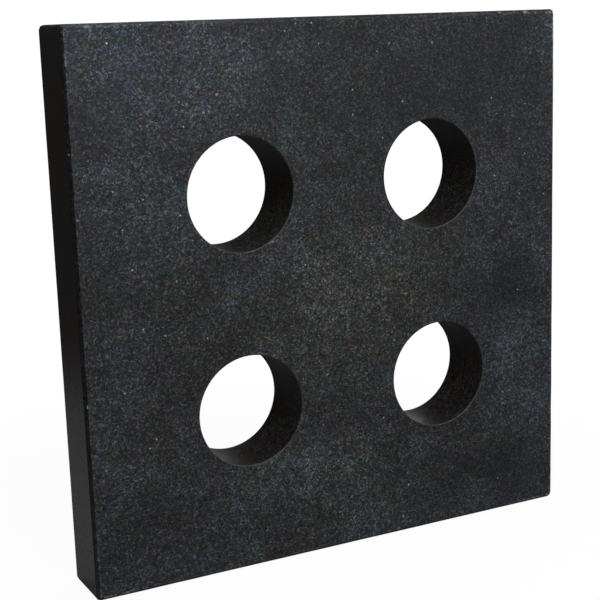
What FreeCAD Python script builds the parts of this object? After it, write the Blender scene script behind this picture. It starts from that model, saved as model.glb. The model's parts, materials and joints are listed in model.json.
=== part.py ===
import FreeCAD, Part
import os
import Sketcher
from FreeCAD import Vector

# Granite square: a workshop reference for right angles. It is one square slab of black
# granite that stands on one of its narrow faces. The four narrow faces are the lapped
# working faces. Four bored holes lighten it and give the hands a grip.
#
# Frame: millimetres, +Z up, X across the broad faces, Y through the slab. The origin is
# the middle of the foot, the narrow face that it stands on. The front is towards -Y.

# Each row: name, size in millimetres, what it measures.
# The holes were drilled one by one, and each is set out from the centre of the square.
SIZES = (
    ("side", 300.0, "length of each side of the square"),
    ("thickness", 36.0, "distance between the broad faces"),
    ("corner_cut", 2.5, "leg of the 45 degree cut on each corner of the square"),
    ("arris_chamfer", 1.8, "leg of the chamfer round each broad face"),
    ("rim_chamfer", 0.5, "leg of the broken edge round each hole"),
    ("hole_diameter", 62.0, "diameter of each bored hole"),
    ("upper_left_across", 56.5, "upper left hole, sideways from the centre to its axis"),
    ("upper_left_rise", 59.0, "upper left hole, upwards from the centre to its axis"),
    ("upper_right_across", 62.5, "upper right hole, sideways from the centre to its axis"),
    ("upper_right_rise", 60.5, "upper right hole, upwards from the centre to its axis"),
    ("lower_left_across", 55.5, "lower left hole, sideways from the centre to its axis"),
    ("lower_left_drop", 60.0, "lower left hole, downwards from the centre to its axis"),
    ("lower_right_across", 66.5, "lower right hole, sideways from the centre to its axis"),
    ("lower_right_drop", 57.5, "lower right hole, downwards from the centre to its axis"),
)

# Each row: name of the hole, which way it lies across (1 is right), its height in words.
HOLES = (
    ("upper_left", -1, "Sizes.side / 2 + Sizes.upper_left_rise"),
    ("upper_right", 1, "Sizes.side / 2 + Sizes.upper_right_rise"),
    ("lower_left", -1, "Sizes.side / 2 - Sizes.lower_left_drop"),
    ("lower_right", 1, "Sizes.side / 2 - Sizes.lower_right_drop"),
)

NODE = "square_body"

# A sketch numbers its own origin like this, and the points of an edge from 1 upwards.
ORIGIN = (-1, 1)
START, END, CENTRE = range(1, 4)


def add_sheet(doc):
    """Put the driving sizes in a sheet: name, size, meaning."""
    sheet = doc.addObject("Spreadsheet::Sheet", "Sizes")
    for row, (name, size, meaning) in enumerate(SIZES, start=1):
        sheet.set(f"A{row}", name)
        sheet.set(f"B{row}", str(size))
        sheet.setAlias(f"B{row}", name)
        sheet.set(f"C{row}", meaning)
    doc.recompute()
    return sheet


def add_sketch(body, name, role):
    """A new sketch on the body's own origin plane with this role."""
    sketch = body.newObject("Sketcher::SketchObject", name)
    plane = next(item for item in body.Origin.OriginFeatures if item.Role == role)
    sketch.AttachmentSupport = [(plane, "")]
    sketch.MapMode = "FlatFace"
    return sketch


def drive(sketch, constraint, name, expression):
    """Name a sketch's dimension and tie it to the sheet."""
    index = sketch.addConstraint(constraint)
    sketch.renameConstraint(index, name)
    sketch.setExpression(f"Constraints.{name}", expression)


def draw_square(sketch, sheet):
    """The slab's outline, standing on the foot line and centred on the middle line."""
    half = sheet.side / 2
    corners = (
        Vector(-half, 0, 0),
        Vector(half, 0, 0),
        Vector(half, sheet.side, 0),
        Vector(-half, sheet.side, 0),
    )
    for first, second in zip(corners, corners[1:] + corners[:1]):
        sketch.addGeometry(Part.LineSegment(first, second), False)
    foot, right, head, left = range(len(corners))
    for edge, following in ((foot, right), (right, head), (head, left), (left, foot)):
        sketch.addConstraint(Sketcher.Constraint("Coincident", edge, END, following, START))
    for edge in (foot, head):
        sketch.addConstraint(Sketcher.Constraint("Horizontal", edge))
    for edge in (right, left):
        sketch.addConstraint(Sketcher.Constraint("Vertical", edge))
    sketch.addConstraint(Sketcher.Constraint("Symmetric", foot, START, foot, END, *ORIGIN))
    width = Sketcher.Constraint("DistanceX", foot, START, foot, END, sheet.side)
    drive(sketch, width, "width", "Sizes.side")
    height = Sketcher.Constraint("DistanceY", right, START, right, END, sheet.side)
    drive(sketch, height, "height", "Sizes.side")


def draw_holes(sketch, sheet):
    """The four bores: one diameter, each axis at its own place."""
    for index, (hole, way, height) in enumerate(HOLES):
        across = sheet.get(f"{hole}_across")
        up = sheet.evalExpression(height)
        middle = Vector(way * across, up, 0)
        circle = Part.Circle(middle, Vector(0, 0, 1), sheet.hole_diameter / 2)
        sketch.addGeometry(circle, False)
        axis = (index, CENTRE)
        from_left_to_right = ORIGIN + axis if way > 0 else axis + ORIGIN
        sideways = Sketcher.Constraint("DistanceX", *from_left_to_right, across)
        drive(sketch, sideways, f"{hole}_across", f"Sizes.{hole}_across")
        upwards = Sketcher.Constraint("DistanceY", *ORIGIN, *axis, up)
        drive(sketch, upwards, f"{hole}_height", height)
        bore = Sketcher.Constraint("Diameter", index, sheet.hole_diameter)
        drive(sketch, bore, f"{hole}_diameter", "Sizes.hole_diameter")


def runs_through(edge, sheet):
    """A straight edge that crosses the slab from one broad face to the other."""
    is_straight = isinstance(edge.Curve, Part.Line)
    return is_straight and edge.BoundBox.YLength > sheet.thickness / 2


def is_corner(edge, sheet):
    """One of the square's four corners, at the slab's left or right side."""
    near_side = sheet.side / 2 - sheet.corner_cut
    return runs_through(edge, sheet) and abs(edge.BoundBox.Center.x) > near_side


def is_arris(edge, sheet):
    """A straight edge that bounds a broad face."""
    return isinstance(edge.Curve, Part.Line) and not runs_through(edge, sheet)


def is_rim(edge, sheet):
    """The circle where a bore meets a broad face."""
    return isinstance(edge.Curve, Part.Circle)


def check_cut(feature, volume_before):
    """A cut that takes nothing away is a fault."""
    if feature.Shape.Volume >= volume_before:
        raise RuntimeError(f"{feature.Name} takes nothing away")


def add_chamfer(body, base, name, size, is_wanted, sheet):
    """Cut 45 degree chamfers on the edges of base that is_wanted picks."""
    edges = enumerate(base.Shape.Edges, start=1)
    names = [f"Edge{number}" for number, edge in edges if is_wanted(edge, sheet)]
    chamfer = body.newObject("PartDesign::Chamfer", name)
    chamfer.Base = (base, names)
    chamfer.setExpression("Size", f"Sizes.{size}")
    body.Tip = chamfer
    body.Document.recompute()
    check_cut(chamfer, base.Shape.Volume)
    return chamfer


def make_square(doc, sheet):
    """The whole object: a slab, its bores, its cut corners and its broken edges."""
    body = doc.addObject("PartDesign::Body", "SquareBody")
    body.Label = NODE

    outline = add_sketch(body, "Outline", "XZ_Plane")
    draw_square(outline, sheet)
    slab = body.newObject("PartDesign::Pad", "Slab")
    slab.Profile = outline
    slab.SideType = "Symmetric"
    slab.setExpression("Length", "Sizes.thickness")
    body.Tip = slab

    circles = add_sketch(body, "HoleCircles", "XZ_Plane")
    draw_holes(circles, sheet)
    doc.recompute()
    bores = body.newObject("PartDesign::Pocket", "Bores")
    bores.Profile = circles
    bores.SideType = "Symmetric"
    bores.Type = "ThroughAll"
    body.Tip = bores
    doc.recompute()
    check_cut(bores, slab.Shape.Volume)

    corners = add_chamfer(body, bores, "CornerCuts", "corner_cut", is_corner, sheet)
    arrises = add_chamfer(body, corners, "Arrises", "arris_chamfer", is_arris, sheet)
    add_chamfer(body, arrises, "Rims", "rim_chamfer", is_rim, sheet)
    return body


def check_document(doc, bodies):
    """Stop before anything is written if an object failed or a shape isn't sound."""
    for item in doc.Objects:
        if "Invalid" in item.State or "Error" in item.State:
            raise RuntimeError(f"{item.Name} failed: {item.State}")
    for body in bodies:
        if body.Shape.isNull() or not body.Shape.isValid():
            raise RuntimeError(f"{body.Label} has no sound shape")


def main():
    doc = FreeCAD.newDocument("GraniteSquare")
    sheet = add_sheet(doc)
    bodies = [make_square(doc, sheet)]
    doc.recompute()
    check_document(doc, bodies)

    os.makedirs("parts", exist_ok=True)
    for body in bodies:
        body.Shape.exportStep(os.path.join("parts", f"{body.Label}.step"))
        box = body.Shape.BoundBox
        print(body.Label, "solids", len(body.Shape.Solids), "faces", len(body.Shape.Faces))
        print("  volume mm3", round(body.Shape.Volume, 1))
        print("  box x", round(box.XMin, 3), round(box.XMax, 3))
        print("  box y", round(box.YMin, 3), round(box.YMax, 3))
        print("  box z", round(box.ZMin, 3), round(box.ZMax, 3))


main()
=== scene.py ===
# %% [markdown]
# # A granite square with four bores
#
# A granite square is a workshop gauge: a slab of fine black stone whose four narrow faces are lapped flat
# and square to each other. Four round bores go through it from face to face, to make it lighter and easy to
# grip. This lesson dresses the measured CAD model of one: it sets up the camera, the floor and the light,
# makes the finishes that a stone works leaves on granite, and then cuts the slab out of a block with
# Blender's own tools.

# %% Load the measured model
import json
import math
import random

import bmesh
import bpy
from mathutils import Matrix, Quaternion, Vector, noise


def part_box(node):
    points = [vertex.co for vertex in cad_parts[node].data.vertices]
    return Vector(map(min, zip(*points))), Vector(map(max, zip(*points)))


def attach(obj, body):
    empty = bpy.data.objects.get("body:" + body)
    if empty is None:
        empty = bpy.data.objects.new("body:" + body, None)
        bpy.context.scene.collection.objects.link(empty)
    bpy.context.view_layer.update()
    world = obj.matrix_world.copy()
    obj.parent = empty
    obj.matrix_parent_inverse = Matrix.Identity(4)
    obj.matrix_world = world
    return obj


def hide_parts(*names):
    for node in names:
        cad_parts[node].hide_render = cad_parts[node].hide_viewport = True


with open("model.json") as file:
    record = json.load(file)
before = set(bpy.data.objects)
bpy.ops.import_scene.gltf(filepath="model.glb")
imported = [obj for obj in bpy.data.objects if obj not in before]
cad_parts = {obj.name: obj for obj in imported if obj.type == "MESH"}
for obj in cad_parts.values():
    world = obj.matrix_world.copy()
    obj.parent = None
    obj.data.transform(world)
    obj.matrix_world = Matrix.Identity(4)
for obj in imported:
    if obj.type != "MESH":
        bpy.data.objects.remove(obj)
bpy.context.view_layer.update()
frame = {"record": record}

MM = 0.001
low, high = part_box("square_body")
side = high.x - low.x
thickness = high.y - low.y
middle = (low + high) / 2
print(f"CAD box: {side / MM:.1f} mm square, {thickness / MM:.1f} mm thick")

# %% [markdown]
# ## The camera
#
# The photograph was taken from the front left, from about the height of the stone's upper edge, with the
# camera turned by less than two degrees. The corners and the openings of the bores fix such a camera: their
# places in the picture were measured, and the place, aim, roll and lens that put the CAD model's corners
# there were solved for. From about 0.73 m the far edge still looks a little shorter than the near one.

# %% The camera
CAMERA_PLACE = Vector((-0.35123, -0.65530, 0.29714))
CAMERA_AIM = Vector((-0.02395, -0.01800, 0.14799))
CAMERA_ROLL = math.radians(-1.874)

camera_data = bpy.data.cameras.new("camera")
camera_data.lens = 80.0
camera_data.sensor_width = 36.0
camera_data.clip_start = 0.05
camera_data.clip_end = 60.0
camera = bpy.data.objects.new("camera", camera_data)
bpy.context.scene.collection.objects.link(camera)
camera.location = CAMERA_PLACE
camera.rotation_mode = "QUATERNION"
level_view = (CAMERA_AIM - CAMERA_PLACE).to_track_quat("-Z", "Y")
camera.rotation_quaternion = level_view @ Quaternion((0.0, 0.0, 1.0), CAMERA_ROLL)
bpy.context.scene.camera = camera
bpy.context.scene.view_settings.view_transform = "Standard"
print(f"camera {(CAMERA_AIM - CAMERA_PLACE).length:.3f} m from its aim")

# %% [markdown]
# ## Helpers for nodes
#
# Every finish below is a small graph of nodes. Three short helpers keep the cells readable: one adds a node
# and sets its properties, one joins two sockets, and one sets values on a node's inputs by name.

# %% Helpers for nodes
def add_node(tree, kind, column, row, **properties):
    """Adds one node, lays it out on a grid of columns and rows, and sets its properties."""
    node = tree.nodes.new(kind)
    node.location = (220 * column, -220 * row)
    for name, value in properties.items():
        setattr(node, name, value)
    return node


def join(tree, source, target):
    """Joins an output socket to an input socket."""
    tree.links.new(source, target)


def set_inputs(node, **values):
    """Sets a node's inputs, with underscores for the spaces in their names."""
    for name, value in values.items():
        node.inputs[name.replace("_", " ")].default_value = value


# %% [markdown]
# ## The floor
#
# The photograph shows the stone on pure white, but the stone itself didn't see white all round: its left
# side and the bores stay nearly black, and only the lower half of the left side is lit from below. A bright
# floor all the way to the horizon would shine in those smooth walls. So the floor is one plain pale plane
# with two answers, one for the camera and one for the stone. The next cells build its material in that
# order.

# %% The floor
FLOOR_HALF_WIDTH = 20.0
FLOOR_DROP = 0.2 * MM

bpy.ops.object.select_all(action="DESELECT")
bpy.ops.mesh.primitive_plane_add(size=2 * FLOOR_HALF_WIDTH, location=(0.0, 0.0, -FLOOR_DROP))
floor = bpy.context.active_object
floor.name = "studio_floor"
bpy.ops.object.transform_apply(location=True, rotation=True, scale=True)
print(f"floor {2 * FLOOR_HALF_WIDTH:.0f} m wide, {FLOOR_DROP / MM:.1f} mm under the stone")

# %% [markdown]
# ## What the camera sees of the floor
#
# For the camera the floor is an emission just brighter than white, so it burns out evenly. Near the stone a
# small share of plain diffuse white is mixed in, and that share lets a breath of the stone's shadow show.
# It fades with the distance from the middle of the foot.

# %% What the camera sees of the floor
PAPER_WHITE = (1.0, 1.0, 1.0, 1.0)
DIFFUSE_WHITE = (0.9, 0.9, 0.9, 1.0)
BURNT_OUT = 1.02
SHADOW_SHARE = 0.07
SHADOW_FADES_FROM = 0.22
SHADOW_ENDS_AT = 0.55

paper = bpy.data.materials.new("white_paper")
paper.use_nodes = True
tree = paper.node_tree
tree.nodes.clear()
coordinates = add_node(tree, "ShaderNodeTexCoord", -2, 2)
distance = add_node(tree, "ShaderNodeVectorMath", -1, 2, operation="LENGTH")
join(tree, coordinates.outputs["Object"], distance.inputs[0])
near = add_node(tree, "ShaderNodeMapRange", 0, 2, interpolation_type="SMOOTHSTEP")
set_inputs(near, From_Min=SHADOW_FADES_FROM, From_Max=SHADOW_ENDS_AT, To_Min=SHADOW_SHARE, To_Max=0.0)
join(tree, distance.outputs["Value"], near.inputs["Value"])
lit_paper = add_node(tree, "ShaderNodeBsdfDiffuse", 1, 1)
set_inputs(lit_paper, Color=DIFFUSE_WHITE)
burnt_out = add_node(tree, "ShaderNodeEmission", 1, 2)
set_inputs(burnt_out, Color=PAPER_WHITE, Strength=BURNT_OUT)
seen = add_node(tree, "ShaderNodeMixShader", 2, 2)
join(tree, near.outputs["Result"], seen.inputs["Fac"])
join(tree, burnt_out.outputs["Emission"], seen.inputs[1])
join(tree, lit_paper.outputs["BSDF"], seen.inputs[2])
print(f"the shadow's share fades from {SHADOW_SHARE:.2f} to nothing at {SHADOW_ENDS_AT:.2f} m")

# %% [markdown]
# ## What the stone sees of the floor
#
# Any other ray, such as one that left the stone, meets a grey sheet close to the stone, lit by the lamps,
# and beyond the sheet's soft edge an even, dim and slightly warm glow. The sheet's middle lies behind the
# stone and to the left of the stone's own, so that it lights the lower half of the left side. The Light Path
# node tells the two kinds of ray apart, and the last Mix node picks one of the two answers.

# %% What the stone sees of the floor
SHEET_GREY = (0.34, 0.34, 0.34, 1.0)
SHEET_MIDDLE = (-0.10, 0.20, 0.0)
SHEET_FADES_FROM = 0.16
SHEET_ENDS_AT = 0.40
ROOM_COLOUR = (1.0, 0.86, 0.81, 1.0)
FLOOR_GLOW = 0.045

from_middle = add_node(tree, "ShaderNodeVectorMath", -1, 1, operation="DISTANCE")
from_middle.inputs[1].default_value = SHEET_MIDDLE
join(tree, coordinates.outputs["Object"], from_middle.inputs[0])
sheet_edge = add_node(tree, "ShaderNodeMapRange", 0, 1, interpolation_type="SMOOTHSTEP")
set_inputs(sheet_edge, From_Min=SHEET_FADES_FROM, From_Max=SHEET_ENDS_AT, To_Min=0.0, To_Max=1.0)
join(tree, from_middle.outputs["Value"], sheet_edge.inputs["Value"])
grey_sheet = add_node(tree, "ShaderNodeBsdfDiffuse", 1, 0)
set_inputs(grey_sheet, Color=SHEET_GREY)
dim_room = add_node(tree, "ShaderNodeEmission", 1, -1)
set_inputs(dim_room, Color=ROOM_COLOUR, Strength=FLOOR_GLOW)
unseen = add_node(tree, "ShaderNodeMixShader", 2, 0)
join(tree, sheet_edge.outputs["Result"], unseen.inputs["Fac"])
join(tree, grey_sheet.outputs["BSDF"], unseen.inputs[1])
join(tree, dim_room.outputs["Emission"], unseen.inputs[2])

ray = add_node(tree, "ShaderNodeLightPath", 2, -1)
paper_shader = add_node(tree, "ShaderNodeMixShader", 3, 1)
join(tree, ray.outputs["Is Camera Ray"], paper_shader.inputs["Fac"])
join(tree, unseen.outputs["Shader"], paper_shader.inputs[1])
join(tree, seen.outputs["Shader"], paper_shader.inputs[2])
paper_out = add_node(tree, "ShaderNodeOutputMaterial", 4, 1)
join(tree, paper_shader.outputs["Shader"], paper_out.inputs["Surface"])
floor.data.materials.append(paper)
print(f"material {paper.name}: {len(tree.nodes)} nodes")

# %% [markdown]
# ## The air around
#
# The world gives the same two answers: white behind the stone for the camera, and the dim, warm glow of a
# dark studio for every other ray.

# %% The air around
ROOM_GLOW = 0.050

world = bpy.data.worlds.new("studio_air")
world.use_nodes = True
tree = world.node_tree
tree.nodes.clear()
ray = add_node(tree, "ShaderNodeLightPath", 0, 0)
room = add_node(tree, "ShaderNodeBackground", 1, 1)
set_inputs(room, Color=ROOM_COLOUR, Strength=ROOM_GLOW)
white = add_node(tree, "ShaderNodeBackground", 1, 2)
set_inputs(white, Color=PAPER_WHITE, Strength=BURNT_OUT)
air = add_node(tree, "ShaderNodeMixShader", 2, 1)
join(tree, ray.outputs["Is Camera Ray"], air.inputs["Fac"])
join(tree, room.outputs["Background"], air.inputs[1])
join(tree, white.outputs["Background"], air.inputs[2])
world_out = add_node(tree, "ShaderNodeOutputWorld", 3, 1)
join(tree, air.outputs["Shader"], world_out.inputs["Surface"])
bpy.context.scene.world = world
print(f"world {world.name}: a glow of {ROOM_GLOW:.3f} for the stone, white for the camera")

# %% [markdown]
# ## Soft studio light
#
# The front face is lit evenly and a little more at its top, the upper arris is the brightest line, and the
# left side gets almost nothing. So large soft boxes stand in front of the stone, above it, on its right and
# behind it on the right, and none on its left. A smaller, cooler one hangs close above the front, for the
# bluish sheen of the stone's upper part. The two behind keep the rear face readable and give the lower
# walls of the bores their grazing gleam. Light adds up: the stone was rendered with one box at a time, and
# each box then got the power with which the sum comes closest to the photograph on every face, arris and
# bore wall.

# %% Soft studio light
LIGHTS = (
    # name, place, width, height, watts, colour
    ("front_softbox", (0.25, -1.50, 0.50), 0.9, 0.9, 6.0, (1.0, 0.99, 0.98)),
    ("top_softbox", (0.00, 0.05, 1.70), 1.0, 1.0, 4.0, (1.0, 0.99, 0.98)),
    ("sky_softbox", (-0.16, -0.62, 0.80), 0.4, 0.4, 3.9, (0.86, 0.93, 1.0)),
    ("right_softbox", (1.30, -0.60, 0.80), 0.9, 0.9, 4.1, (1.0, 0.99, 0.98)),
    ("rear_softbox", (1.80, 1.10, 0.70), 0.9, 0.9, 24.0, (1.0, 0.99, 0.98)),
    ("low_softbox", (1.10, 1.30, 0.55), 0.9, 0.6, 0.4, (1.0, 0.99, 0.98)),
)


def add_softbox(name, place, width, height, watts, colour):
    """Adds a rectangular area light that looks at the middle of the stone."""
    light = bpy.data.lights.new(name, "AREA")
    light.shape = "RECTANGLE"
    light.size = width
    light.size_y = height
    light.energy = watts
    light.color = colour
    softbox = bpy.data.objects.new(name, light)
    bpy.context.scene.collection.objects.link(softbox)
    softbox.location = place
    softbox.rotation_mode = "QUATERNION"
    softbox.rotation_quaternion = (middle - Vector(place)).to_track_quat("-Z", "Y")
    softbox.visible_camera = False
    return softbox


for row in LIGHTS:
    softbox = add_softbox(*row)
    print(f"{softbox.name}: {row[4]:.1f} W at {(softbox.location - middle).length:.2f} m")

# %% [markdown]
# ## Helpers for node groups
#
# An effect that several finishes share is a node group: a graph with named inputs and outputs that is built
# once and then placed in each material with its own values. The helpers here make an empty group, fill a
# colour ramp, add one step of arithmetic, and bend a vector with a noise, which makes every outline that is
# drawn from it irregular.

# %% Helpers for node groups
def new_group(name, inputs, outputs):
    """Makes an empty shader node group with named sockets, and returns it with its two end nodes."""
    group = bpy.data.node_groups.new(name, "ShaderNodeTree")
    for socket_name, value in inputs:
        socket = group.interface.new_socket(name=socket_name, in_out="INPUT", socket_type="NodeSocketFloat")
        socket.default_value = value
    for socket_name, kind in outputs:
        group.interface.new_socket(name=socket_name, in_out="OUTPUT", socket_type=kind)
    start = add_node(group, "NodeGroupInput", -1, 0)
    end = add_node(group, "NodeGroupOutput", 9, 0)
    return group, start, end


def fill_ramp(node, stops):
    """Gives a Color Ramp node these stops."""
    elements = node.color_ramp.elements
    while len(elements) > 1:
        elements.remove(elements[-1])
    elements[0].position = stops[0][0]
    elements[0].color = (*stops[0][1], 1.0)
    for position, colour in stops[1:]:
        elements.new(position).color = (*colour, 1.0)


def add_math(tree, operation, column, row, a, b=None):
    """Adds a Math node on two sockets or numbers, and returns its output."""
    node = add_node(tree, "ShaderNodeMath", column, row, operation=operation)
    for index, value in enumerate((a, b)):
        if isinstance(value, bpy.types.NodeSocket):
            join(tree, value, node.inputs[index])
        elif value is not None:
            node.inputs[index].default_value = value
    return node.outputs["Value"]


def add_bend(tree, column, row, source, scale, detail, shift, roughness=0.5):
    """Adds nodes that push a vector about by up to half of shift, and returns the new vector."""
    bend = add_node(tree, "ShaderNodeTexNoise", column, row + 1)
    set_inputs(bend, Scale=scale, Detail=detail, Roughness=roughness)
    join(tree, source, bend.inputs["Vector"])
    centred = add_node(tree, "ShaderNodeVectorMath", column + 1, row + 1, operation="SUBTRACT")
    centred.inputs[1].default_value = (0.5, 0.5, 0.5)
    join(tree, bend.outputs["Color"], centred.inputs[0])
    bent = add_node(tree, "ShaderNodeVectorMath", column + 2, row, operation="MULTIPLY_ADD")
    bent.inputs[1].default_value = shift
    join(tree, centred.outputs["Vector"], bent.inputs[0])
    join(tree, source, bent.inputs[2])
    return bent.outputs["Vector"]


# %% [markdown]
# ## The stone's grain
#
# Black granite is a mass of interlocked crystals about a millimetre across: mostly near-black ones, some
# dark grey and a few light grey ones, each with a trace of teal, green, violet or brown. A Voronoi texture
# gives each crystal one random tone. A noise that bends its coordinates first makes the crystals' outlines
# irregular. A second, finer Voronoi breaks the crystals up, and a third, slightly coarser one gives
# neighbours a shared tint. All finishes share this grain, so it is a node group, and it reads Object
# coordinates: then the grain runs through the stone from face to face, as in a block.

# %% The crystals
CRYSTAL_SIZE = 0.8 * MM
FINES_SCALE = 2.3
KIN_SCALE = 0.8
FINES_SPREAD = 0.9
FINES_LEAST = 0.55
BENDS_PER_METRE = 520.0
BEND = 1.6 * MM
CRYSTAL_TONES = (
    # place on the ramp, linear colour of that share of the crystals
    (0.00, (0.0028, 0.0029, 0.0029)),
    (0.30, (0.0120, 0.0124, 0.0124)),
    (0.60, (0.0240, 0.0248, 0.0249)),
    (0.82, (0.0400, 0.0413, 0.0415)),
    (0.94, (0.0620, 0.0640, 0.0644)),
    (1.00, (0.0920, 0.0955, 0.0963)),
)
CRYSTAL_TINTS = (
    # place on the ramp, what it multiplies the crystal's colour with
    (0.00, (0.48, 1.10, 1.30)),
    (0.35, (0.86, 1.10, 0.56)),
    (0.65, (1.04, 0.84, 1.66)),
    (1.00, (1.42, 0.98, 0.50)),
)

grain, grain_in, grain_out = new_group(
    "stone_grain",
    (("Crystal Size", CRYSTAL_SIZE), ("Lightness", 1.0), ("Cloud", 1.0)),
    (("Color", "NodeSocketColor"), ("Tone", "NodeSocketFloat")),
)
coordinates = add_node(grain, "ShaderNodeTexCoord", -1, 2)
bent = add_bend(grain, 0, 2, coordinates.outputs["Object"], BENDS_PER_METRE, 2.0, (BEND, BEND, BEND), 0.6)
per_metre = add_math(grain, "DIVIDE", 0, 1, 1.0, grain_in.outputs["Crystal Size"])


def add_cells(row, scale):
    """Adds a Voronoi texture on the bent coordinates, and returns its cells' random colours, split up."""
    cells = add_node(grain, "ShaderNodeTexVoronoi", 3, row)
    join(grain, bent, cells.inputs["Vector"])
    join(grain, scale, cells.inputs["Scale"])
    dice = add_node(grain, "ShaderNodeSeparateColor", 4, row)
    join(grain, cells.outputs["Color"], dice.inputs["Color"])
    return dice


dice = add_cells(1, per_metre)
kin_dice = add_cells(2, add_math(grain, "MULTIPLY", 1, 2, per_metre, KIN_SCALE))
fine_dice = add_cells(3, add_math(grain, "MULTIPLY", 1, 1, per_metre, FINES_SCALE))

tones = add_node(grain, "ShaderNodeValToRGB", 5, 1)
fill_ramp(tones, CRYSTAL_TONES)
join(grain, dice.outputs["Red"], tones.inputs["Fac"])
tints = add_node(grain, "ShaderNodeValToRGB", 5, 2)
fill_ramp(tints, CRYSTAL_TINTS)
join(grain, kin_dice.outputs["Green"], tints.inputs["Fac"])
tinted = add_node(grain, "ShaderNodeVectorMath", 6, 1, operation="MULTIPLY")
join(grain, tones.outputs["Color"], tinted.inputs[0])
join(grain, tints.outputs["Color"], tinted.inputs[1])
broken_up = add_math(grain, "MULTIPLY_ADD", 5, 3, fine_dice.outputs["Red"], FINES_SPREAD)
broken_up.node.inputs[2].default_value = FINES_LEAST
print(f"crystals of {CRYSTAL_SIZE / MM:.1f} mm in {len(CRYSTAL_TONES)} tones")

# %% [markdown]
# ## Clouds in the stone
#
# The crystals alone would look like even gravel. A quarried block also has cloudy places, lighter and
# bluer or darker and browner, from a few millimetres to a few centimetres wide. The blue on the lighter
# places is a painted bluish sheen, laid on together with the stone's own clouds. A slow noise with rough
# detail gives them, and the Cloud input says how much of them a finish shows. The group then puts out the
# stone's colour, and each crystal's own tone for the roughness and the relief.

# %% Clouds in the stone
# The lighter, bluer end paints a bluish sheen on the stone's own lighter clouds.
CLOUD_AND_SHEEN_TINTS = (
    # value of the slow noise, what it multiplies the stone's colour with
    (0.30, (0.62, 0.60, 0.55)),
    (0.50, (1.00, 1.00, 1.00)),
    (0.70, (1.48, 1.54, 1.68)),
)
CLOUDS_PER_METRE = 34.0

clouds = add_node(grain, "ShaderNodeTexNoise", 3, 5)
set_inputs(clouds, Scale=CLOUDS_PER_METRE, Detail=4.0, Roughness=0.77)
join(grain, coordinates.outputs["Object"], clouds.inputs["Vector"])
cloud_and_sheen_tints = add_node(grain, "ShaderNodeValToRGB", 4, 5)
fill_ramp(cloud_and_sheen_tints, CLOUD_AND_SHEEN_TINTS)
join(grain, clouds.outputs["Fac"], cloud_and_sheen_tints.inputs["Fac"])
cloudy = add_node(grain, "ShaderNodeMix", 6, 5, data_type="RGBA")
join(grain, grain_in.outputs["Cloud"], cloudy.inputs["Factor"])
cloudy.inputs["A"].default_value = (1.0, 1.0, 1.0, 1.0)
join(grain, cloud_and_sheen_tints.outputs["Color"], cloudy.inputs["B"])
clouded = add_node(grain, "ShaderNodeVectorMath", 7, 1, operation="MULTIPLY")
join(grain, tinted.outputs["Vector"], clouded.inputs[0])
join(grain, cloudy.outputs["Result"], clouded.inputs[1])
lit = add_math(grain, "MULTIPLY", 7, 3, broken_up, grain_in.outputs["Lightness"])
stone_colour = add_node(grain, "ShaderNodeVectorMath", 8, 1, operation="SCALE")
join(grain, clouded.outputs["Vector"], stone_colour.inputs[0])
join(grain, lit, stone_colour.inputs["Scale"])
join(grain, stone_colour.outputs["Vector"], grain_out.inputs["Color"])
join(grain, dice.outputs["Red"], grain_out.inputs["Tone"])
print(f"group {grain.name}: {len(grain.nodes)} nodes")

# %% [markdown]
# ## Painted glints
#
# Here and there a flake of mica or the flat face of a crystal lies just right and flashes. Such flashes are
# painted into the colour here, as painted highlights. A sparse Voronoi picks a few cells at random, and only
# the very middle of each. The brightest flashes of the photographed stone are its own, so they are small
# spots given one by one. A noise makes every outline ragged. Together they give a mask that lightens the
# colour there. Being painted into the surface and not made by the light, these painted glints stay in place
# from every side.

# %% Painted glints
PAINTED_GLINTS = (
    # place on the front face in mm (across, up), radius in mm, brightness
    (-126.4, 290.0, 0.52, 1.00),
    (-108.1, 298.8, 0.70, 0.45),
    (-76.3, 253.3, 0.60, 0.42),
    (-73.4, 253.6, 0.50, 0.34),
    (-68.5, 262.0, 0.60, 0.42),
    (-39.4, 182.1, 0.55, 0.30),
    (-147.2, 203.9, 0.55, 0.26),
    (30.7, 233.2, 0.55, 0.28),
    (106.3, 206.0, 0.60, 0.42),
    (122.9, 136.1, 0.60, 0.34),
    (127.9, 217.3, 0.55, 0.34),
    (141.9, 192.3, 0.60, 0.38),
    (146.1, 34.1, 0.55, 0.32),
)
GLINT_SPACING = 4.0 * MM
GLINT_SHARE = 0.05
GLINT_SIZE = 0.5 * MM
RAGGED_PER_METRE = 1100.0
RAGGED_BY = 1.1 * MM

glints, glints_in, glints_out = new_group(
    "painted_crystal_glints",
    (("Spacing", GLINT_SPACING), ("Share", GLINT_SHARE), ("Size", GLINT_SIZE)),
    (("Mask", "NodeSocketFloat"),),
)
coordinates = add_node(glints, "ShaderNodeTexCoord", -1, 2)
shift = (RAGGED_BY, RAGGED_BY, RAGGED_BY)
ragged = add_bend(glints, -1, 4, coordinates.outputs["Object"], RAGGED_PER_METRE, 1.0, shift)
cells = add_node(glints, "ShaderNodeTexVoronoi", 2, 1)
join(glints, ragged, cells.inputs["Vector"])
join(glints, add_math(glints, "DIVIDE", 0, 1, 1.0, glints_in.outputs["Spacing"]), cells.inputs["Scale"])
cell_dice = add_node(glints, "ShaderNodeSeparateColor", 3, 0)
join(glints, cells.outputs["Color"], cell_dice.inputs["Color"])
chosen = add_math(glints, "LESS_THAN", 4, 0, cell_dice.outputs["Red"], glints_in.outputs["Share"])
reach = add_math(glints, "DIVIDE", 1, 2, glints_in.outputs["Size"], glints_in.outputs["Spacing"])
inside = add_math(glints, "LESS_THAN", 4, 1, cells.outputs["Distance"], reach)
strength = add_math(glints, "MULTIPLY", 5, 1, chosen, inside)
varied = add_math(glints, "MULTIPLY", 6, 1, strength, cell_dice.outputs["Green"])
# Painted highlights: the glint cells and the listed glint spots lighten the colour.
flashes = varied
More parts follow.
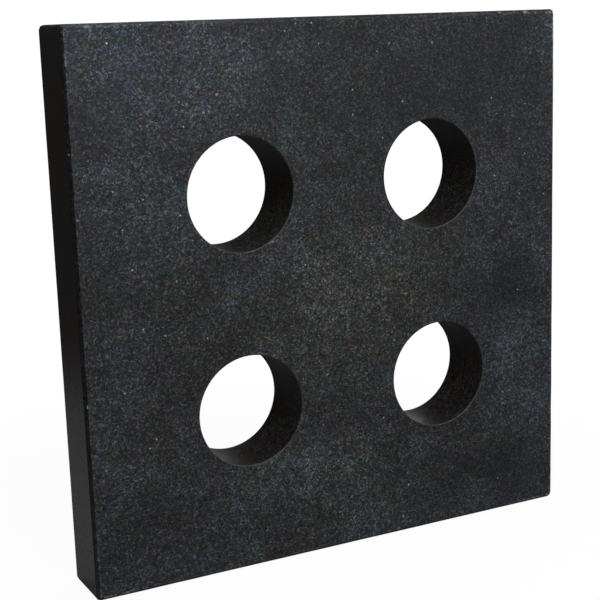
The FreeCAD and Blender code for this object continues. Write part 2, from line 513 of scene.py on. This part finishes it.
for row, (across, up, radius, brightness) in enumerate(PAINTED_GLINTS):
    glint_place = (across * MM, low.y, up * MM)
    from_glint = add_node(glints, "ShaderNodeVectorMath", 4, 3 + row, operation="DISTANCE")
    from_glint.inputs[1].default_value = glint_place
    join(glints, ragged, from_glint.inputs[0])
    on_glint = add_math(glints, "LESS_THAN", 5, 3 + row, from_glint.outputs["Value"], radius * MM)
    glint_spot = add_math(glints, "MULTIPLY", 6, 3 + row, on_glint, brightness)
    flashes = add_math(glints, "MAXIMUM", 7, 3 + row, flashes, glint_spot)
join(glints, flashes, glints_out.inputs["Mask"])
print(f"group {glints.name}: {len(glints.nodes)} nodes")

# %% [markdown]
# ## Dust and painted sheen towards the edges
#
# Towards the edges of a broad face the colour is painted paler and bluer, for two things at once. A hand or
# a cloth wipes the middle of a broad face more often than its border, so a thin film of pale grinding dust
# stays towards the edges and looks bluish on black. And the face shows a painted bluish sheen, stronger
# towards its edges than in its middle. The mask grows with the distance from the middle of the face, and a
# slow noise breaks it up, because nobody wipes evenly.

# %% Dust and painted sheen towards the edges
HAZE_FREE_MIDDLE = (-0.020, 0.0, 0.120)
HAZE_STARTS_AT = 0.05
HAZE_FULL_AT = 0.20
STROKES_PER_METRE = 24.0

# The mask stands for pale dust and a painted bluish sheen together.
haze, haze_in, haze_out = new_group("dust_and_sheen_haze", (("Amount", 0.1),), (("Mask", "NodeSocketFloat"),))
coordinates = add_node(haze, "ShaderNodeTexCoord", -1, 2)
from_middle = add_node(haze, "ShaderNodeVectorMath", 0, 1, operation="SUBTRACT")
from_middle.inputs[1].default_value = HAZE_FREE_MIDDLE
join(haze, coordinates.outputs["Object"], from_middle.inputs[0])
flat = add_node(haze, "ShaderNodeVectorMath", 1, 1, operation="MULTIPLY")
flat.inputs[1].default_value = (1.0, 0.0, 1.0)
join(haze, from_middle.outputs["Vector"], flat.inputs[0])
away = add_node(haze, "ShaderNodeVectorMath", 2, 1, operation="LENGTH")
join(haze, flat.outputs["Vector"], away.inputs[0])
border = add_node(haze, "ShaderNodeMapRange", 3, 1, interpolation_type="SMOOTHSTEP")
set_inputs(border, From_Min=HAZE_STARTS_AT, From_Max=HAZE_FULL_AT)
join(haze, away.outputs["Value"], border.inputs["Value"])
strokes = add_node(haze, "ShaderNodeTexNoise", 2, 3)
set_inputs(strokes, Scale=STROKES_PER_METRE, Detail=3.0)
join(haze, coordinates.outputs["Object"], strokes.inputs["Vector"])
uneven = add_node(haze, "ShaderNodeMapRange", 3, 3)
set_inputs(uneven, From_Min=0.35, From_Max=0.65, To_Min=0.6, To_Max=1.4)
join(haze, strokes.outputs["Fac"], uneven.inputs["Value"])
dust_and_sheen_film = add_math(haze, "MULTIPLY", 4, 1, border.outputs["Result"], uneven.outputs["Result"])
join(haze, add_math(haze, "MULTIPLY", 5, 1, dust_and_sheen_film, haze_in.outputs["Amount"]), haze_out.inputs["Mask"])
print(f"group {haze.name}: {len(haze.nodes)} nodes")

# %% [markdown]
# ## Patches, partly painted sheen
#
# The broad faces of the photographed stone aren't even: some places are lighter and bluer, others darker,
# and one near the middle is lighter and warmer. The lighter and bluer patches, above all those at the upper
# left and along the right edge of the front face, are smeared grinding dust and painted sheen together.
# The others only make the face darker or warmer in places. Such patches are particular to one stone, so a
# noise alone won't put them where they are. Here each is a soft ellipsoid at a listed place, and it
# multiplies the colour of the stone by the patch's own tint. A slow noise bends the coordinates first, so
# that no outline is round.

# %% Patches, partly painted sheen
# The lighter, bluer tints are dust and painted sheen; the darker tints darken the face in places.
PATCHES = (
    # middle in mm, half sizes in mm, what the patch multiplies the stone's colour with at its middle
    ((-84, -18, 273), (62, 30, 42), (1.66, 1.58, 1.74)),
    ((-150, -18, 292), (46, 30, 60), (1.36, 1.30, 1.38)),
    ((-112, -18, 222), (44, 30, 32), (1.36, 1.38, 1.50)),
    ((-104, -18, 154), (58, 30, 30), (1.20, 1.20, 1.20)),
    ((14, -18, 142), (88, 30, 68), (1.46, 1.42, 1.24)),
    ((-22, -18, 52), (68, 30, 27), (1.64, 1.74, 1.72)),
    ((124, -18, 90), (42, 30, 54), (1.30, 1.38, 1.46)),
    ((12, -18, 24), (62, 30, 34), (1.28, 1.36, 1.34)),
    ((160, -18, 262), (38, 30, 92), (1.44, 1.52, 1.62)),
    ((160, -18, 60), (38, 30, 92), (1.46, 1.54, 1.62)),
    ((96, -18, 266), (66, 30, 44), (0.60, 0.61, 0.62)),
    ((26, -18, 264), (50, 30, 30), (0.78, 0.80, 0.80)),
    ((108, -18, 142), (52, 30, 22), (0.62, 0.64, 0.64)),
    ((82, -18, 22), (76, 30, 28), (0.66, 0.69, 0.67)),
    ((-112, -18, 46), (50, 30, 26), (0.76, 0.79, 0.76)),
    ((-142, -18, 14), (28, 30, 26), (0.68, 0.72, 0.68)),
    ((70, 18, 250), (70, 30, 40), (1.34, 1.38, 1.48)),
    ((-60, 18, 150), (60, 30, 80), (0.76, 0.77, 0.80)),
    ((30, 18, 40), (80, 30, 30), (1.30, 1.32, 1.36)),
)
DRIFTS_PER_METRE = 30.0
DRIFT = (0.06, 0.0, 0.06)
FULL_WITHIN = 0.1

patches_and_sheen_group, patches_and_sheen_in, patches_and_sheen_out = new_group("patches_and_painted_sheen", (("Amount", 1.0),), (("Color", "NodeSocketColor"),))
coordinates = add_node(patches_and_sheen_group, "ShaderNodeTexCoord", -3, 2)
drifted = add_bend(patches_and_sheen_group, -3, 2, coordinates.outputs["Object"], DRIFTS_PER_METRE, 3.0, DRIFT)
colour = None
for row, (centre, half_sizes, tint) in enumerate(PATCHES):
    scaled = add_node(patches_and_sheen_group, "ShaderNodeVectorMath", 0, row, operation="MULTIPLY_ADD")
    scaled.inputs[1].default_value = [1 / (size * MM) for size in half_sizes]
    scaled.inputs[2].default_value = [-along / size for along, size in zip(centre, half_sizes)]
    join(patches_and_sheen_group, drifted, scaled.inputs[0])
    away = add_node(patches_and_sheen_group, "ShaderNodeVectorMath", 1, row, operation="LENGTH")
    join(patches_and_sheen_group, scaled.outputs["Vector"], away.inputs[0])
    share = add_node(patches_and_sheen_group, "ShaderNodeMapRange", 2, row, interpolation_type="SMOOTHSTEP")
    set_inputs(share, From_Min=FULL_WITHIN, From_Max=1.0)
    join(patches_and_sheen_group, away.outputs["Value"], share.inputs["Value"])
    share.inputs["To Max"].default_value = 0.0
    join(patches_and_sheen_group, patches_and_sheen_in.outputs["Amount"], share.inputs["To Min"])
    laid_on = add_node(patches_and_sheen_group, "ShaderNodeMix", 3, row, data_type="RGBA", blend_type="MULTIPLY")
    join(patches_and_sheen_group, share.outputs["Result"], laid_on.inputs["Factor"])
    laid_on.inputs["A"].default_value = (1.0, 1.0, 1.0, 1.0)
    if colour:
        join(patches_and_sheen_group, colour, laid_on.inputs["A"])
    laid_on.inputs["B"].default_value = (*tint, 1.0)
    colour = laid_on.outputs["Result"]
join(patches_and_sheen_group, colour, patches_and_sheen_out.inputs["Color"])
print(f"group {patches_and_sheen_group.name}: {len(PATCHES)} patches, {len(patches_and_sheen_group.nodes)} nodes")

# %% [markdown]
# ## The worn line of an arris
#
# The line where an arris meets a broad face is touched most, and its crystals are bruised: it shows as a
# thin, broken, lighter line, plainest near the corners. The mask is one over that line and fades within a
# millimetre to both sides. The distance from the line is worked out from the point's place. On the broad
# face it is how far the point lies inside the line, and on the arris how far it lies below the face.
# Everywhere else the sum is large and the mask is nothing.

# %% The worn line of an arris
ARRIS = 1.8 * MM
WORN_REACH = 0.9 * MM
BRUISES_PER_METRE = 420.0
PLAINER_FROM = 0.105
PLAINEST_AT = 0.145
FAINTEST = 0.14

worn, worn_in, worn_out = new_group(
    "worn_line", (("Reach", WORN_REACH), ("Amount", 0.5)), (("Mask", "NodeSocketFloat"),)
)
coordinates = add_node(worn, "ShaderNodeTexCoord", -1, 2)
centred = add_node(worn, "ShaderNodeVectorMath", 0, 2, operation="SUBTRACT")
centred.inputs[1].default_value = middle
join(worn, coordinates.outputs["Object"], centred.inputs[0])
outward = add_node(worn, "ShaderNodeVectorMath", 1, 2, operation="ABSOLUTE")
join(worn, centred.outputs["Vector"], outward.inputs[0])
axes = add_node(worn, "ShaderNodeSeparateXYZ", 2, 2)
join(worn, outward.outputs["Vector"], axes.inputs["Vector"])
widest = add_math(worn, "MAXIMUM", 3, 2, axes.outputs["X"], axes.outputs["Z"])
inside_line = add_math(worn, "SUBTRACT", 4, 2, side / 2 - ARRIS, widest)
over_face = add_math(worn, "MAXIMUM", 5, 2, inside_line, 0.0)
below_face = add_math(worn, "SUBTRACT", 4, 3, thickness / 2, axes.outputs["Y"])
from_line = add_math(worn, "ADD", 6, 2, over_face, below_face)
fade = add_node(worn, "ShaderNodeMapRange", 7, 2)
set_inputs(fade, From_Min=0.0, To_Min=1.0, To_Max=0.0)
join(worn, from_line, fade.inputs["Value"])
join(worn, worn_in.outputs["Reach"], fade.inputs["From Max"])
bruises = add_node(worn, "ShaderNodeTexNoise", 6, 4)
set_inputs(bruises, Scale=BRUISES_PER_METRE, Detail=2.0, Roughness=0.7)
join(worn, coordinates.outputs["Object"], bruises.inputs["Vector"])
broken = add_node(worn, "ShaderNodeMapRange", 7, 4)
set_inputs(broken, From_Min=0.46, From_Max=0.66, To_Min=0.0, To_Max=1.0)
join(worn, bruises.outputs["Fac"], broken.inputs["Value"])
along = add_math(worn, "MINIMUM", 3, 5, axes.outputs["X"], axes.outputs["Z"])
to_corner = add_node(worn, "ShaderNodeMapRange", 4, 5, interpolation_type="SMOOTHSTEP")
set_inputs(to_corner, From_Min=PLAINER_FROM, From_Max=PLAINEST_AT, To_Min=FAINTEST, To_Max=1.0)
join(worn, along, to_corner.inputs["Value"])
bruised = add_math(worn, "MULTIPLY", 8, 4, broken.outputs["Result"], to_corner.outputs["Result"])
line = add_math(worn, "MULTIPLY", 8, 2, fade.outputs["Result"], bruised)
join(worn, add_math(worn, "MULTIPLY", 8, 3, line, worn_in.outputs["Amount"]), worn_out.inputs["Mask"])
print(f"group {worn.name}: {len(worn.nodes)} nodes")

# %% [markdown]
# ## The finishes
#
# Seven surfaces of this stone are worked or worn differently. The two broad faces are only ground: the fine
# scratches scatter light, so they look greyer and show the grain best. The four narrow faces are lapped,
# and smooth black stone looks darker, with a soft gleam. The bores are cut with a core drill and stay dark.
# The arrises are dulled with a rubbing stone. Those that look upwards are painted lighter, partly for the
# pale dust they hold and partly for the light that falls on them from above, so they are as grey as the
# broad face. The broken rims are painted as a thin paler line: partly the crushed break, partly a painted
# highlight where they catch the light. Where a chip has left, the fresh break is crushed, pale and rough.
# All seven are the same stone, so one function builds them from the five groups, each with its own row of
# values.

# %% The finishes
STONE_IOR = 1.55
RELIEF_STRENGTH = 0.5
CRUSHED_TONE = (0.340, 0.350, 0.360, 1.0)
# The pale bluish tone of the edge haze: grinding dust and painted sheen.
DUST_AND_SHEEN_TONE = (0.090, 0.120, 0.190, 1.0)
BRUISED_TONE = (0.400, 0.385, 0.395, 1.0)
# The tone of the painted glints: painted highlights.
FLASH_TONE = (0.620, 0.640, 0.660, 1.0)


def stone_finish(name, lightness, tint, cloud, patches, roughness, gloss, relief, glint, dust_and_sheen, wear, crush):
    """Makes one finish of the stone from the five groups and its own row of values."""
    material = bpy.data.materials.new(name)
    material.use_nodes = True
    tree = material.node_tree
    shader = tree.nodes["Principled BSDF"]
    shader.location = (1120, 0)
    set_inputs(shader, IOR=STONE_IOR, Specular_IOR_Level=gloss)
    stone = add_node(tree, "ShaderNodeGroup", 0, 0, node_tree=grain)
    set_inputs(stone, Crystal_Size=CRYSTAL_SIZE, Lightness=lightness, Cloud=cloud)
    flash = add_node(tree, "ShaderNodeGroup", 0, 2, node_tree=glints)
    set_inputs(flash, Spacing=GLINT_SPACING, Share=GLINT_SHARE, Size=GLINT_SIZE)
    flash_share = add_math(tree, "MULTIPLY", 1, 2, flash.outputs["Mask"], glint)
    dust_and_sheen_film = add_node(tree, "ShaderNodeGroup", 0, 3, node_tree=haze)
    set_inputs(dust_and_sheen_film, Amount=dust_and_sheen)
    bruise = add_node(tree, "ShaderNodeGroup", 0, 4, node_tree=worn)
    set_inputs(bruise, Reach=WORN_REACH, Amount=wear)
    tinted = add_node(tree, "ShaderNodeVectorMath", 1, 3, operation="MULTIPLY")
    join(tree, stone.outputs["Color"], tinted.inputs[0])
    tinted.inputs[1].default_value = tint
    # Patches of dust and painted sheen, and darker places, multiply the colour.
    patches_and_sheen = add_node(tree, "ShaderNodeGroup", 0, 5, node_tree=patches_and_sheen_group)
    set_inputs(patches_and_sheen, Amount=patches)
    patched = add_node(tree, "ShaderNodeVectorMath", 1, 4, operation="MULTIPLY")
    join(tree, tinted.outputs["Vector"], patched.inputs[0])
    join(tree, patches_and_sheen.outputs["Color"], patched.inputs[1])
    colour = patched.outputs["Vector"]
    # Layers over the colour: crushed stone, dust and painted sheen, bruised crystals, painted glints.
    layers = (
        (crush, CRUSHED_TONE),
        (dust_and_sheen_film.outputs["Mask"], DUST_AND_SHEEN_TONE),
        (bruise.outputs["Mask"], BRUISED_TONE),
        (flash_share, FLASH_TONE),
    )
    for layer, (mask, tone) in enumerate(layers):
        laid_on = add_node(tree, "ShaderNodeMix", 1 + layer, 0, data_type="RGBA")
        if isinstance(mask, bpy.types.NodeSocket):
            join(tree, mask, laid_on.inputs["Factor"])
        else:
            laid_on.inputs["Factor"].default_value = mask
        join(tree, colour, laid_on.inputs["A"])
        laid_on.inputs["B"].default_value = tone
        colour = laid_on.outputs["Result"]
    join(tree, colour, shader.inputs["Base Color"])
    rough = add_node(tree, "ShaderNodeMapRange", 2, 1)
    set_inputs(rough, To_Min=roughness[0], To_Max=roughness[1])
    join(tree, stone.outputs["Tone"], rough.inputs["Value"])
    join(tree, rough.outputs["Result"], shader.inputs["Roughness"])
    bump = add_node(tree, "ShaderNodeBump", 3, 2)
    set_inputs(bump, Strength=RELIEF_STRENGTH, Distance=relief)
    join(tree, stone.outputs["Tone"], bump.inputs["Height"])
    join(tree, bump.outputs["Normal"], shader.inputs["Normal"])
    return material


PLAIN = (1.0, 1.0, 1.0)
WARM = (1.28, 1.00, 0.84)
FINISHES = (
    # name, lightness, tint, cloud, patches, roughness range, gloss, relief, glint, dust and sheen, wear,
    # crush
    stone_finish("ground_face", 1.25, PLAIN, 1.0, 1.0, (0.54, 0.68), 0.24, 0.00002, 1.0, 0.04, 0.9, 0.0),
    stone_finish("lapped_face", 0.30, PLAIN, 0.5, 0.0, (0.24, 0.32), 0.40, 0.000004, 0.3, 0.01, 0.0, 0.0),
    stone_finish("cored_bore", 0.80, WARM, 0.5, 0.0, (0.44, 0.60), 0.16, 0.00006, 0.1, 0.0, 0.0, 0.0),
    stone_finish("rubbed_arris", 0.20, PLAIN, 0.7, 0.0, (0.34, 0.58), 0.60, 0.00014, 0.5, 0.0, 0.5, 0.0),
    # Upward arrises: pale dust and painted light from above.
    stone_finish("dusty_arris_and_painted_light", 1.12, PLAIN, 1.0, 1.0, (0.50, 0.66), 0.26, 0.00008, 1.0, 0.06, 0.9, 0.0),
    # Rims: the crushed break and a painted highlight.
    stone_finish("broken_rim_and_highlight", 1.30, PLAIN, 0.5, 0.0, (0.50, 0.66), 0.26, 0.00006, 0.5, 0.0, 0.0, 0.10),
    stone_finish("fresh_chip", 1.60, PLAIN, 0.5, 0.0, (0.60, 0.80), 0.40, 0.00008, 1.0, 0.0, 0.0, 0.8),
)
GROUND, LAPPED, CORED, RUBBED, DUSTY_AND_LIT, RIM_AND_HIGHLIGHT, CHIPPED = range(len(FINISHES))
print("finishes:", ", ".join(material.name for material in FINISHES))

# %% [markdown]
# ## Helpers for edit mode
#
# In edit mode an operator works on what is selected. By hand one would click the edges or faces. In a
# script they are picked by where they are, with a test on their ends or their middle, so the same step
# still finds them if a size changes.

# %% Helpers for edit mode
def add_to_scene(operator, name, **values):
    """Deselects everything, runs one primitive operator, and names the new object."""
    bpy.ops.object.select_all(action="DESELECT")
    operator(**values)
    piece = bpy.context.active_object
    piece.name = name
    piece.data.name = name
    return piece


def start_editing(piece, kind):
    """Opens a piece in edit mode, for picking edges or faces."""
    bpy.ops.object.select_all(action="DESELECT")
    piece.select_set(True)
    bpy.context.view_layer.objects.active = piece
    bpy.ops.object.mode_set(mode="EDIT")
    bpy.ops.mesh.select_mode(type=kind)


def pick_edges(piece, wanted):
    """Selects the edges whose two ends pass the test, and nothing else."""
    mesh = bmesh.from_edit_mesh(piece.data)
    for edge in mesh.edges:
        edge.select_set(False)
    picked = [edge for edge in mesh.edges if wanted(edge.verts[0].co, edge.verts[1].co)]
    for edge in picked:
        edge.select_set(True)
    bmesh.update_edit_mesh(piece.data)
    return len(picked)


def pick_faces(piece, wanted):
    """Selects the faces whose middle and normal pass the test, and nothing else."""
    mesh = bmesh.from_edit_mesh(piece.data)
    for face in mesh.faces:
        face.select_set(False)
    picked = [face for face in mesh.faces if wanted(face.calc_center_median(), face.normal)]
    for face in picked:
        face.select_set(True)
    bmesh.update_edit_mesh(piece.data)
    return len(picked)


# %% [markdown]
# ## The slab
#
# The stone starts as a block at the CAD model's own size and place. The works then takes two kinds of edge
# off it. First the four corners, seen from the front, are cut back a little, so that the square can't dig
# into a surface plate. Then the arrises round both broad faces are rubbed down to a narrow flat. Both are
# bevels: the first on the four edges that run through the thickness, the second on the loops round the two
# broad faces. Bevelling in that order carries the arris round each cut corner, as on the stone.

# %% The slab: block, cut corners and arrises
CORNER_CUT = 2.5 * MM

slab = add_to_scene(
    bpy.ops.mesh.primitive_cube_add, "granite_slab", size=1.0, location=middle, scale=high - low
)
bpy.ops.object.transform_apply(location=True, rotation=True, scale=True)
for finish in FINISHES:
    slab.data.materials.append(finish)

start_editing(slab, "EDGE")
corners = pick_edges(slab, lambda a, b: abs(a.y - b.y) > thickness / 2)
bpy.ops.mesh.bevel(offset=CORNER_CUT, offset_type="OFFSET", segments=2, profile=0.5, affect="EDGES")
arrises = pick_edges(slab, lambda a, b: abs(a.y - b.y) < thickness / 2)
bpy.ops.mesh.bevel(offset=ARRIS, offset_type="OFFSET", segments=1, affect="EDGES")
bpy.ops.object.mode_set(mode="OBJECT")
print(f"bevelled {corners} corners and {arrises} edges: {len(slab.data.polygons)} faces")

# %% [markdown]
# ## Hand-rubbed arrises
#
# The arrises are dulled by hand, so their width wavers by a tenth of a millimetre or two along the edge.
# The long edges are subdivided, and each point of an arris then slides a little, but only within the face
# that it lies in: a point of a broad face moves in that face's plane, and a point of a narrow face in that
# one's. So the faces stay as flat as a gauge needs, and only the line between them is uneven. Perlin noise
# on the point's place gives a smooth waver that is the same each time.

# %% Hand-rubbed arrises
LONG_EDGE_CUTS = 56
WAVER = 0.16 * MM
WAVER_PER_METRE = 60.0
FASTER_THROUGH = 9
NEARLY = 0.01 * MM

start_editing(slab, "EDGE")
long_edges = pick_edges(slab, lambda a, b: (a - b).length > side / 2)
bpy.ops.mesh.subdivide(number_cuts=LONG_EDGE_CUTS)
bpy.ops.object.mode_set(mode="OBJECT")

for vertex in slab.data.vertices:
    spot = vertex.co
    waver = WAVER * noise.noise(Vector((spot.x, FASTER_THROUGH * spot.y, spot.z)) * WAVER_PER_METRE)
    on_broad_face = abs(spot.y) > thickness / 2 - NEARLY
    if not on_broad_face:
        spot.y += waver * (1 if spot.y < 0 else -1)
        continue
    if abs(abs(spot.x) - (side / 2 - ARRIS)) < NEARLY:
        spot.x += waver * (1 if spot.x < 0 else -1)
    if abs(abs(spot.z - middle.z) - (side / 2 - ARRIS)) < NEARLY:
        spot.z += waver * (1 if spot.z < middle.z else -1)
slab.data.update()
print(f"{long_edges} long edges in {LONG_EDGE_CUTS + 1} steps each, moved by up to {WAVER / MM:.2f} mm")

# %% [markdown]
# ## The bores
#
# A core drill goes straight through, and then the rim is broken by half a millimetre with a stone on both
# sides. Drill and rim are cut in one go here. The cutter is a cylinder whose two ends are extruded outwards
# and widened, so it flares just where it meets a face. One cutter is modelled at the origin and copied to
# the four places that the CAD record's mounts give. Boolean modifiers then subtract the copies. The cutter
# carries the bore's finish on its side and the rim's finish on its flares, and the Boolean hands them on to
# the cut walls.

# %% The bores
BORE_SIDES = 144
RIM = 0.5 * MM
FLARE = 3 * RIM
bores = [mount for mount in frame["record"]["mounts"] if mount["kind"] == "bore"]
bore_radius = bores[0]["dims"]["r_mm"] * MM

drill = add_to_scene(
    bpy.ops.mesh.primitive_cylinder_add,
    "core_drill",
    vertices=BORE_SIDES,
    radius=bore_radius,
    depth=thickness - 2 * RIM,
    rotation=(math.radians(90), 0.0, 0.0),
)
bpy.ops.object.transform_apply(location=True, rotation=True, scale=True)
for finish in FINISHES:
    drill.data.materials.append(finish)
for face in drill.data.polygons:
    face.material_index = CORED

start_editing(drill, "FACE")
wider = (bore_radius + FLARE) / bore_radius
for end in (-1, 1):
    pick_faces(drill, lambda place, normal: normal.y * end > 0.9)
    bpy.ops.mesh.extrude_region_move(TRANSFORM_OT_translate={"value": (0.0, end * FLARE, 0.0)})
    bpy.ops.transform.resize(value=(wider, 1.0, wider), center_override=(0.0, 0.0, 0.0))
bpy.ops.mesh.select_all(action="SELECT")
bpy.ops.mesh.normals_make_consistent(inside=False)
bpy.ops.object.mode_set(mode="OBJECT")
# The flares get the rim's paler finish: crushed break and painted highlight.
for face in drill.data.polygons:
    if abs(face.center.y) > thickness / 2 - RIM:
        face.material_index = RIM_AND_HIGHLIGHT


def cut_with(piece, cutter):
    """Subtracts the cutter from the piece with a Boolean modifier, applies it, and removes the cutter."""
    bpy.ops.object.select_all(action="DESELECT")
    bpy.context.view_layer.objects.active = piece
    piece.select_set(True)
    boolean = piece.modifiers.new("cut", "BOOLEAN")
    boolean.operation = "DIFFERENCE"
    boolean.solver = "EXACT"
    boolean.material_mode = "INDEX"
    boolean.object = cutter
    bpy.ops.object.modifier_apply(modifier=boolean.name)
    bpy.data.objects.remove(cutter)


for bore in bores:
    cutter = drill.copy()
    cutter.data = drill.data.copy()
    bpy.context.scene.collection.objects.link(cutter)
    cutter.location = Vector(bore["pos_m"])
    bpy.context.view_layer.update()
    cut_with(slab, cutter)
    print(f"{bore['name']} at x {bore['pos_m'][0] / MM:.1f}, z {bore['pos_m'][2] / MM:.1f} mm")
bpy.data.objects.remove(drill)

# %% [markdown]
# ## Chips
#
# Granite doesn't dent, it chips: a knock on an arris breaks out a small shell-shaped flake and leaves a
# lighter scar. The photograph shows a few on the upper arris and on the left one. Each is cut with a small
# irregular pebble, an icosphere whose points are pushed in and out at random, stretched along the arris.
# The pebbles are placed where the photograph shows a chip, with six more on the arrises that it
# doesn't show.

# %% Chips
random.seed(36)
LEAST_SWELL = 0.78
MOST_SWELL = 1.12
ALONG_X = (1.7, 0.9, 0.9)
ALONG_Z = (0.9, 0.9, 1.7)
front, rear = low.y + 0.5 * MM, high.y - 0.5 * MM
CHIPS = (
    # place, radius in mm, stretch
    ((110.6 * MM, front, high.z - 0.6 * MM), 0.9, ALONG_X),
    ((116.6 * MM, front, high.z - 0.7 * MM), 0.6, ALONG_X),
    ((121.0 * MM, front, high.z - 0.7 * MM), 0.6, ALONG_X),
    ((128.4 * MM, front, high.z - 0.7 * MM), 1.1, ALONG_X),
    ((134.0 * MM, front, high.z - 0.7 * MM), 0.5, ALONG_X),
    ((-20.8 * MM, front, high.z - 0.7 * MM), 0.7, ALONG_X),
    ((-21.4 * MM, low.y, high.z - 3.4 * MM), 0.5, ALONG_X),
    ((low.x + 0.6 * MM, front, 236.7 * MM), 0.7, ALONG_Z),
    ((low.x + 1.6 * MM, low.y + 0.1 * MM, 107.2 * MM), 0.6, ALONG_Z),
    ((high.x - 0.5 * MM, front, 61.0 * MM), 0.8, ALONG_Z),
    ((-84.0 * MM, front, low.z + 0.5 * MM), 0.9, ALONG_X),
    ((42.0 * MM, rear, high.z - 0.5 * MM), 1.1, ALONG_X),
    ((-97.0 * MM, rear, high.z - 0.5 * MM), 0.8, ALONG_X),
    ((high.x - 0.5 * MM, rear, 204.0 * MM), 1.2, ALONG_Z),
    ((low.x + 0.5 * MM, rear, 74.0 * MM), 0.9, ALONG_Z),
)


def add_pebble(place, radius, stretch):
    """Adds an irregular pebble, the shape that a chip leaves."""
    pebble = add_to_scene(
        bpy.ops.mesh.primitive_ico_sphere_add, "pebble", subdivisions=2, radius=radius * MM
    )
    for finish in FINISHES:
        pebble.data.materials.append(finish)
    for vertex in pebble.data.vertices:
        swell = random.uniform(LEAST_SWELL, MOST_SWELL)
        vertex.co = Vector(place) + Vector([c * s * swell for c, s in zip(vertex.co, stretch)])
    for face in pebble.data.polygons:
        face.material_index = CHIPPED
    return pebble


for place, radius, stretch in CHIPS:
    cut_with(slab, add_pebble(place, radius, stretch))
print(f"{len(CHIPS)} chips, {len(slab.data.polygons)} faces in the slab")

# %% [markdown]
# ## Which face gets which finish
#
# The cutters have brought their finishes along. The rest of the slab still has the first one, so its faces
# are told apart by their normals: a narrow face looks straight along an axis, an arris slants, and an arris
# that looks upwards gets the dusty finish, which is also painted lighter for the light from above. Smooth
# shading is limited by angle: the wall of a bore looks round, while every arris keeps its crisp line.

# %% Which face gets which finish
FLAT = 0.999
ACROSS = 0.02
UPWARD = 0.3
SMOOTH_UP_TO = math.radians(25)
MERGED_WITHIN = 0.002 * MM

for face in slab.data.polygons:
    if face.material_index != GROUND:
        continue
    normal = face.normal
    if abs(normal.y) > FLAT:
        continue
    lies_across = abs(normal.y) < ACROSS
    if lies_across and max(abs(normal.x), abs(normal.z)) > FLAT:
        face.material_index = LAPPED
    else:
        # Upward arrises get the lighter finish: dust and painted light from above.
        face.material_index = DUSTY_AND_LIT if normal.z > UPWARD else RUBBED

bpy.ops.object.select_all(action="DESELECT")
slab.select_set(True)
bpy.context.view_layer.objects.active = slab
bpy.ops.object.shade_smooth_by_angle(angle=SMOOTH_UP_TO)
start_editing(slab, "VERT")
bpy.ops.mesh.select_all(action="SELECT")
bpy.ops.mesh.remove_doubles(threshold=MERGED_WITHIN)
bpy.ops.mesh.normals_make_consistent(inside=False)
bpy.ops.object.mode_set(mode="OBJECT")

counts = [0] * len(FINISHES)
for face in slab.data.polygons:
    counts[face.material_index] += 1
for finish, count in zip(FINISHES, counts):
    print(f"{finish.name}: {count} faces")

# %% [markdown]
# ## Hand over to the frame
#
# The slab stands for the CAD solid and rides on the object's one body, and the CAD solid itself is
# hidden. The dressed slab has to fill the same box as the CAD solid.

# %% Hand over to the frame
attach(slab, "root")
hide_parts("square_body")
